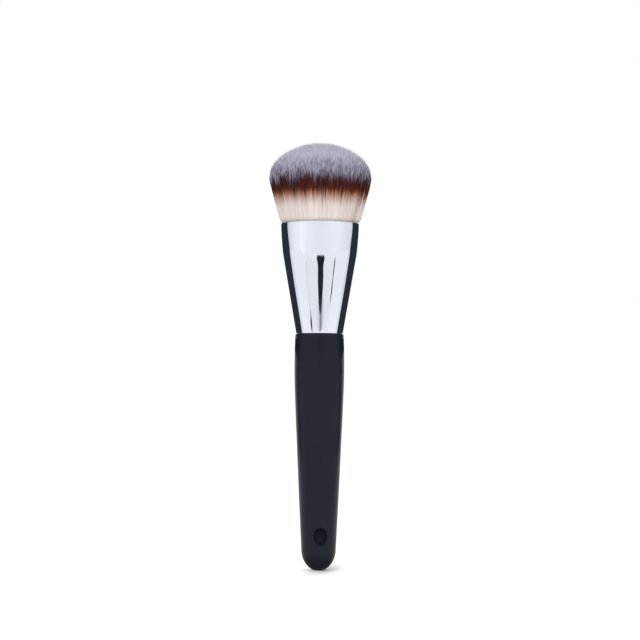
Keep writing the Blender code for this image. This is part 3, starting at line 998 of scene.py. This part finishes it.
def make_flags():
    """The dark flags at the brush's sides, which draw the dark strips at the ferrule's edges.

    A narrow gap between the ferrule's flags and the handle's lets light into the rolled lip. The
    handle's flags leave a gap to it too, for the thin light line along the lacquer's edges.
    """
    dark = emitter("flag_dark", FLAG_COLOUR)
    deep = emitter("flag_deep_dark", FLAG_COLOUR, FLAG_THINNEST)
    for side in (-1, 1):
        for in_depth, finish in ((0, dark), (1, deep)):
            edge = []
            for height in spread(MOUTH, FERRULE_BASE - 0.1 * MM, FLAG_STEPS):
                share = math.exp(-(((height - FLAG_WIDEST) / FLAG_WIDE_LENGTH) ** 2))
                reach = FLAG_REACH + (FLAG_BEND_REACH - FLAG_REACH) * share
                edge.append((ferrule_size(height)[in_depth], height, reach))
            over = (edge[0][0], FLAG_TOP, FLAG_TOP_REACH)
            edge.append((FLAG_END_INNER, FLAG_END, FLAG_REACH))
            name = f"flag_{'deep' if in_depth else 'side'}_{side}"
            flag(name, [over] + edge, in_depth, side, finish)
            grip = [(taper_radius(min(height, BELLY_HEIGHT)) + gap, height, HANDLE_FLAG_REACH)
                    for height, gap in HANDLE_FLAG_GAPS]
            flag(name.replace("flag", "handle_flag"), grip, in_depth, side, finish)


def front_card(name, shape, finish, distance=CARD_DISTANCE):
    """A flat card in front of the brush, seen in the chrome.

    Its points are (turn in degrees from straight ahead, height in millimetres).
    """
    places = [(distance * math.tan(math.radians(turn)), -distance, z * MM) for turn, z in shape]
    card(name, places, [tuple(range(len(places)))], finish)


def make_camera_shape():
    """The camera on its stand, as the ferrule mirrors it: a dark pin with a rounded head."""
    middle = 2.0
    lean = 0.075
    # Points are (turn from the middle, height)
    left = [(0, 46.5), (3.8, 50), (6.2, 56.4), (7.5, 67.6), (7.6, 75), (7, 80.4)]
    right = [(7.2, 80.4), (8.3, 75), (8.1, 67.6), (6.5, 56.4), (3.9, 50)]
    head = [(7.3, 84.1), (8.5, 86), (9.3, 87.3), (10, 88.6), (8.8, 90.8), (8, 91.7), (4, 92.6)]
    shape = [(middle - turn, z + lean * turn) for turn, z in left + head]
    shape += [(middle, 92.9)]
    shape += [(middle + turn, z - lean * turn) for turn, z in head[::-1] + right]
    stops = [(0.0, (0.050, 0.056, 0.064)), (0.18, (0.034, 0.039, 0.046)), (0.32, (0.018, 0.022, 0.028)),
             (0.75, (0.020, 0.024, 0.030)), (0.92, (0.008, 0.011, 0.016))]
    front_card("camera_shape", shape, graded_emitter("camera_dark", "UP", stops))
    legs = (("leg", 4.8, 4.5, 0.33, 0.805), ("leg_haze", 4.6, 8.5, 0.62, 0.81),
            ("leg_soft", 2.5, 15.0, 0.85, 0.815))
    for name, middle, turn, level, distance in legs:
        left, right = middle - turn, middle + turn
        shape = [(left, 33.5), (right, 33.5), (right - 1.5, 56), (left, 56)]
        front_card(f"camera_{name}", shape, emitter(f"camera_{name}_grey", grey(level)), distance)


def make_lines():
    """Two thin dark lines beside the camera, each an upright band with a pointed end or two."""
    left = [(-41.3, 0.4), (-36.6, 2.6), (-35.7, 3.6), (-35.1, 6), (-34.1, 11.7), (-33.4, 16.3),
            (-33.6, 19.7), (-34.5, 22.7), (-35.6, 26), (-37.3, 30), (-38.2, 36), (-38.1, 42), (-37.1, 52),
            (-35.3, 62), (-36.9, 62), (-38.9, 52), (-39.9, 42), (-40, 36), (-39.1, 30), (-37.4, 26),
            (-36.4, 22.7), (-37, 19.7), (-37.6, 16.3), (-38.5, 11.7), (-40.3, 6), (-40.9, 3.2)]
    stops = greys((0.0, 0.05), (0.30, 0.06), (0.38, 0.45), (0.55, 0.74), (1.0, 0.80))
    front_card("left_line", left, graded_emitter("left_line_grey", "UP", stops), LINE_DISTANCE)
    right = [(38.2, 62), (40.7, 54.8), (41.2, 49.6), (40.9, 44.4), (40.4, 41.1), (40.5, 34.4),
             (41.2, 30.7), (41.3, 27), (40.1, 24.5), (38.8, 22.3), (38.2, 24.5), (37.7, 27),
             (37.4, 30.7), (37.5, 34.4), (37.5, 41.1), (38.5, 44.4), (38, 49.6), (38.1, 54.8)]
    front_card("right_line", right, emitter("right_line_grey", grey(0.04)), LINE_DISTANCE)


def make_pale_studio():
    """The pale studio above the bend, a little dimmer straight ahead and towards the flags."""
    corners = []
    for s, c in arc(math.radians(-100), math.radians(100), 51):
        corners += [(STUDIO_RADIUS * s, -STUDIO_RADIUS * c, height) for height in (STUDIO_LOW, STUDIO_HIGH)]
    faces = [(low, low + 2, low + 3, low + 1) for low in range(0, len(corners) - 2, 2)]
    levels = [(-90, 0.74), (-73, 0.96), (-58, 1.03), (-26, 1.01), (-14, 0.95), (3, 0.935), (17, 0.96),
              (30, 1.0), (42, 1.01), (54, 0.97), (66, 0.92), (80, 0.88), (100, 0.74), (269, 0.74)]
    stops = greys(*((0.25 + turn / 360, level) for turn, level in levels))
    card("pale_studio", corners, faces, graded_emitter("pale_studio_white", "RADIAL", stops))


def make_cards():
    """What the ferrule mirrors in front of it: a pale panel, its dark edges and a strip lamp."""
    make_camera_shape()
    panel = [(-37, 3), (-24.4, 22.1), (-9.8, 32.5), (4.7, 33.9), (16.7, 28.7), (24.5, 23.4),
             (29.2, 19.9), (32.4, 18.4), (35.3, 16.7), (37.2, 17.1), (38.5, 17.7), (39.7, 19.2),
             (40.5, 45), (38.6, 58), (30, 72), (20, 82), (10, 87), (0, 89), (-10, 88), (-20, 82),
             (-30, 72), (-36.2, 62), (-38.5, 50), (-39.2, 40), (-38.5, 32), (-36.4, 24)]
    front_card("grey_panel", panel, emitter("panel_grey", (0.93, 0.942, 0.915)), PANEL_DISTANCE)
    make_lines()
    strip = [(-46.7, 178), (-47.5, 156), (-48.5, 137), (-48.3, 124), (-45.5, 106), (-42.5, 92),
             (-39, 92), (-36.5, 112), (-34.5, 131), (-33, 145), (-31, 160), (-30, 176),
             (-30, 314), (-46.7, 314)]
    stops = greys((0.0, 1.14), (0.2, 1.15), (0.4, 1.12), (0.55, 1.08), (0.7, 1.05), (0.8, 1.06),
                  (1.0, 1.01))
    front_card("strip_lamp", strip, graded_emitter("strip_light", "ACROSS", stops), STRIP_DISTANCE)
    make_pale_studio()


def make_world():
    """White to cameras and mirrors, and a soft plain light to everything else."""
    world = bpy.data.worlds.new("studio")
    world.use_nodes = True
    tree = world.node_tree
    path = add_node(tree, "LightPath").outputs
    seen = maths(tree, "MAXIMUM", path["Is Camera Ray"], path["Is Transmission Ray"])
    level = add_node(tree, "Mix", path["Is Glossy Ray"], data_type="FLOAT")
    give(tree, level.inputs[2], value_range(tree, seen, AMBIENT, 1.0))
    give(tree, level.inputs[3], MIRROR_WHITE)
    set_node(tree, tree.nodes["Background"], (1.0, 1.0, 1.0, 1.0), level.outputs[0])
    bpy.context.scene.world = world


def make_floor():
    """A white floor that keeps the brush's soft shadow, partly rendered and partly painted.

    Its glow for the camera grows away from the brush, where the lamps don't reach, and is least
    in a narrow patch round the handle's end that runs back from it, a painted shadow. Mirrors see
    it plain white, but with painted shade: dark under the handle's end and a little dim straight
    to the sides, next to the flags.
    """
    made, tree, surface = unlit_material("floor_white")
    path = add_node(tree, "LightPath").outputs
    place = add_node(tree, "TexCoord").outputs["Object"]
    away = vector_maths(tree, "LENGTH", place, "Value")
    reach = {"From_Min": FLOOR_NEAR, "From_Max": FLOOR_FAR}

    glow = value_range(tree, away, FLOOR_GLOW, FLOOR_FAR_GLOW, **reach)
    # Painted shadow: the camera's glow is lowered in a narrow patch round the handle's end
    patch = add_node(
        tree, "Mapping", place,
        vector_type="TEXTURE",
        Location=(FLOOR_SHADOW_PATCH_SHIFT, 0.0, 0.0),
        Rotation=(0.0, 0.0, math.radians(FLOOR_SHADOW_PATCH_TURN)),
        Scale=(1.0, FLOOR_SHADOW_PATCH_STRETCH, 1.0),
    )
    across = vector_maths(tree, "LENGTH", patch.outputs["Vector"], "Value")
    painted_shadow = value_range(tree, across, -FLOOR_SHADOW_PATCH, 0.0, From_Max=FLOOR_SHADOW_PATCH_END,
                       interpolation_type="SMOOTHSTEP")
    strength = maths(tree, "MULTIPLY", path["Is Camera Ray"], maths(tree, "ADD", glow, painted_shadow))
    lit = add_node(tree, "BsdfDiffuse", FLOOR_COLOUR).outputs[0]
    seen = add_node(tree, "Emission", Strength=strength).outputs[0]
    seen = add_node(tree, "AddShader", lit, seen).outputs[0]

    level = value_range(tree, away, FLOOR_MIRROR, FLOOR_FAR_MIRROR, **reach)
    # Painted shade in the floor as mirrors see it: dark under the handle's end, dim straight to the sides
    under = value_range(tree, away, FLOOR_MIRROR_SHADE_LEAST, 1.0, From_Max=FLOOR_MIRROR_SHADE_REACH,
                        interpolation_type="SMOOTHSTEP")
    way = vector_maths(tree, "ABSOLUTE", vector_maths(tree, "NORMALIZE", place))
    sideways = add_node(tree, "SeparateXYZ", way).outputs["X"]
    beside = value_range(tree, sideways, 1.0, FLOOR_MIRROR_SHADE_SIDE_LEVEL, From_Min=FLOOR_MIRROR_SHADE_SIDE)
    level = maths(tree, "MULTIPLY", maths(tree, "MULTIPLY", level, under), beside)
    mirrored = add_node(tree, "Emission", Strength=level).outputs[0]
    give(tree, surface, add_node(tree, "MixShader", path["Is Glossy Ray"], seen, mirrored).outputs[0])

    corners = [(x * FLOOR_SIZE, y * FLOOR_SIZE, 0.0) for x, y in ((-1, -1), (1, -1), (1, 1), (-1, 1))]
    floor = mesh_object("floor", corners, [(0, 1, 2, 3)], made)


def soft_lamp(name, place, size, level):
    """A square soft lamp whose light on a facing surface is the given share of plain white."""
    way = LAMP_TARGET - Vector(place)
    lamp = bpy.data.lights.new(name, "AREA")
    lamp.shape = "SQUARE"
    lamp.size = size
    lamp.energy = level * math.pi**2 * way.length_squared
    made = add_object(name, lamp)
    made.location = place
    made.rotation_euler = way.to_track_quat("-Z", "Y").to_euler()
    made.visible_glossy = False
    made.visible_camera = False


def make_camera():
    """The photograph's camera: long lens, level but for a slight upward look and lean."""
    lens = bpy.data.cameras.new("camera")
    lens.sensor_fit = "HORIZONTAL"
    lens.sensor_width = 36.0
    lens.lens = lens.sensor_width * CAMERA_DISTANCE / FRAME_WIDTH
    lens.clip_start = 0.01
    lens.clip_end = 100.0
    made = add_object("camera", lens)
    tilt = math.radians(CAMERA_TILT)
    back = Vector((0.0, -math.cos(tilt), -math.sin(tilt)))
    place = Matrix.Translation(AIM + back * CAMERA_DISTANCE)
    lean = Matrix.Rotation(math.radians(CAMERA_ROLL), 4, "Z")
    made.matrix_world = place @ Matrix.Rotation(QUARTER + tilt, 4, "X") @ lean
    bpy.context.scene.camera = made


def main():
    """Builds the studio, then the pieces, each in the place of a packed one."""
    make_camera()
    make_world()
    make_floor()
    soft_lamp("key_lamp", (-0.35, -1.00, 0.70), 0.7, 0.31)
    soft_lamp("fill_lamp", (0.75, -0.70, 0.45), 0.7, 0.17)
    soft_lamp("top_lamp", (0.0, 0.15, 1.0), 0.5, 0.07)
    make_flags()
    make_cards()

    ferrule = make_ferrule(chrome_material())
    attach(ferrule, "root")
    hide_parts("ferrule")

    handle = make_handle(lacquer_material(), recess_shade_material())
    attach(handle, "root")
    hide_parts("handle")

    for number, piece in enumerate(make_bristles(bristle_material()), start=1):
        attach(piece, "root")
        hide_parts(f"bristles_{number}")

    glue = ((0.62, 0.50, 0.30), (0.76, 0.64, 0.42), (0.30, 0.40), 400.0)
    resin = ((0.54, 0.44, 0.27), (0.68, 0.58, 0.38), (0.25, 0.35), 300.0)
    thread = ((0.66, 0.63, 0.56), (0.84, 0.82, 0.76), (0.75, 0.85), 2500.0)
    hidden = {
        "tenon_glue_lower": ("cured_glue", *glue),
        "tenon_glue_upper": ("cured_glue_upper", *glue),
        "root_resin": ("root_resin", *resin),
        "bundle_tie": ("tie_thread", *thread),
    }
    for node, finish in hidden.items():
        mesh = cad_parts[node].data
        mesh.materials.clear()
        mesh.materials.append(plain_material(*finish))


main()

bpy.context.scene.view_settings.view_transform = "Standard"
